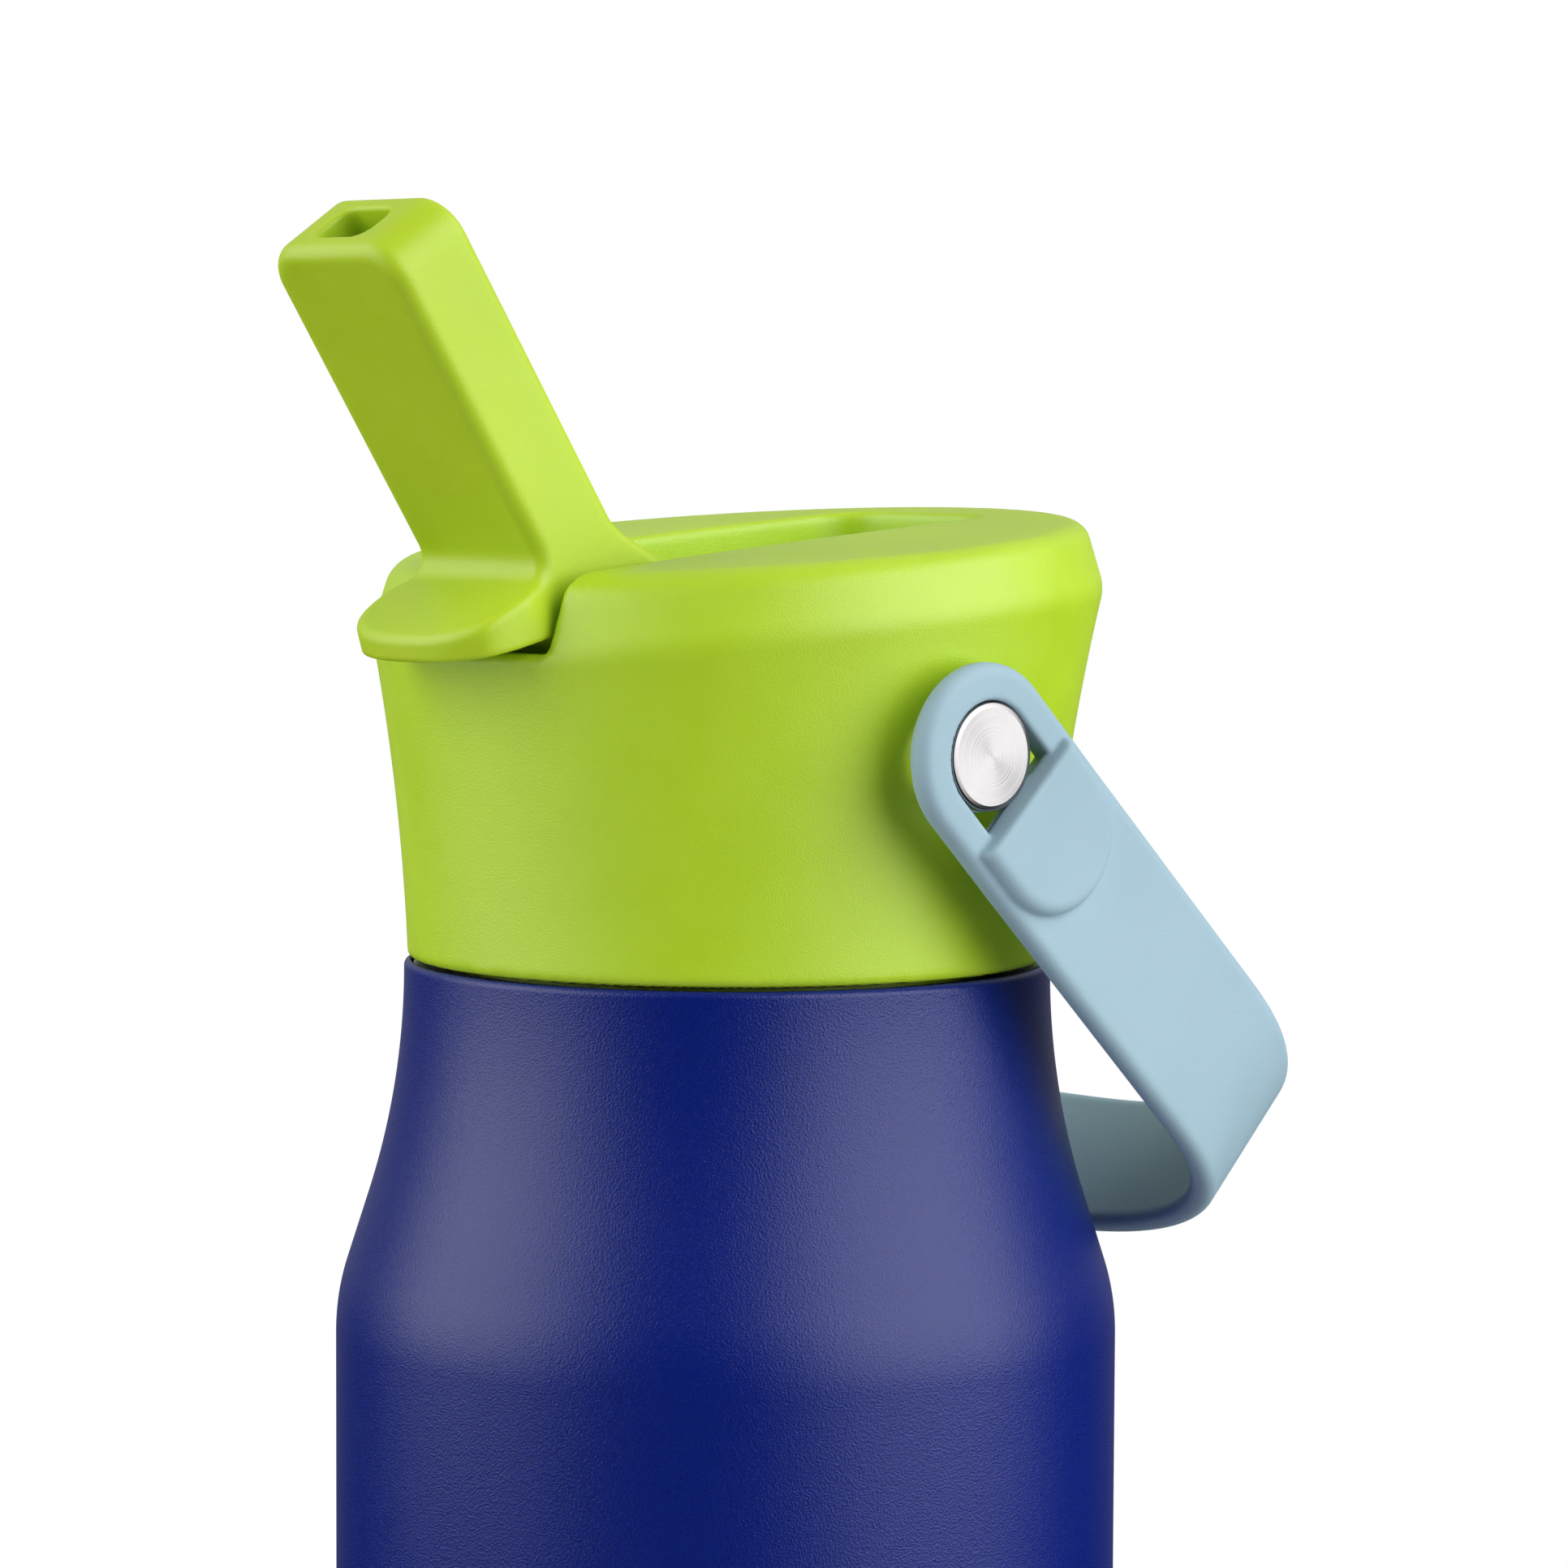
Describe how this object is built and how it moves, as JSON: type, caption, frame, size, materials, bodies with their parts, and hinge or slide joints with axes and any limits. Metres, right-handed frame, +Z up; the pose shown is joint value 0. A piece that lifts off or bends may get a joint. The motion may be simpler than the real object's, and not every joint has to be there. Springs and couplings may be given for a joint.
{
  "type": "kids water bottle",
  "caption": "Insulated steel kids water bottle with a flared screw lid, flip-up drinking spout with thumb tab, inner straw and swinging carry handle.",
  "frame": {"origin": "centre of the flat base that the bottle stands on", "axes": "+Z up along the bottle's axis, -Y towards the drinking spout and thumb tab, +X to the right hand of someone who faces the same way as +Y; the handle hangs on the +Y side"},
  "size_m": [0.0766, 0.0946, 0.2091],
  "materials": {
    "powder_blue": "satin powder coat with a fine orange-peel grain",
    "steel": "turned and brushed stainless steel",
    "solder": "dull glass solder and sintered getter powder",
    "silicone": "matte food-grade silicone",
    "lime_plastic": "fine satin texture",
    "soft_lime": "soft-touch satin elastomer",
    "ice_blue": "matte silicone",
    "clear_plastic": "translucent gloss",
    "brass": "machined"
  },
  "bodies": {
    "bottle": {"outer_shell": "powder_blue", "inner_liner": "steel", "vacuum_base": "steel", "vacuum_seal_bead": "solder", "vacuum_getter": "solder", "base_cover": "steel"},
    "seal_ring": {"neck_gasket": "silicone"},
    "lid": {"lid_shell": "lime_plastic", "lid_core": "lime_plastic", "spout_seal": "silicone", "vent_valve": "silicone", "straw_socket": "silicone", "straw": "clear_plastic", "spout_pin_left": "steel", "spout_pin_right": "steel", "handle_button_left": "steel", "handle_button_right": "steel", "handle_bush_left": "silicone", "handle_bush_right": "silicone", "handle_insert_left": "brass", "handle_insert_right": "brass"},
    "spout": {"spout": "soft_lime"},
    "handle": {"handle": "ice_blue"}
  },
  "joints": [
    {"name": "lid_rise", "type": "slide", "parent": "bottle", "child": "seal_ring", "axis": [0, 0, 1], "range_m": [0, 0.0063]},
    {"name": "lid_turn", "type": "hinge", "parent": "seal_ring", "child": "lid", "pos_m": [0, 0, 0.14], "axis": [0, 0, 1], "range_deg": [0, 450]},
    {"name": "spout_flip", "type": "hinge", "parent": "lid", "child": "spout", "pos_m": [0, -0.0205, 0.1713], "axis": [-1, 0, 0], "range_deg": [0, 118.7]},
    {"name": "handle_swing", "type": "hinge", "parent": "lid", "child": "handle", "pos_m": [0, -0.0022, 0.16053], "axis": [1, 0, 0], "range_deg": [0, 155]}
  ],
  "couplings": [
    {"joint": "lid_rise", "follows": "lid_turn", "m_per_rad": 0.00079577}
  ]
}
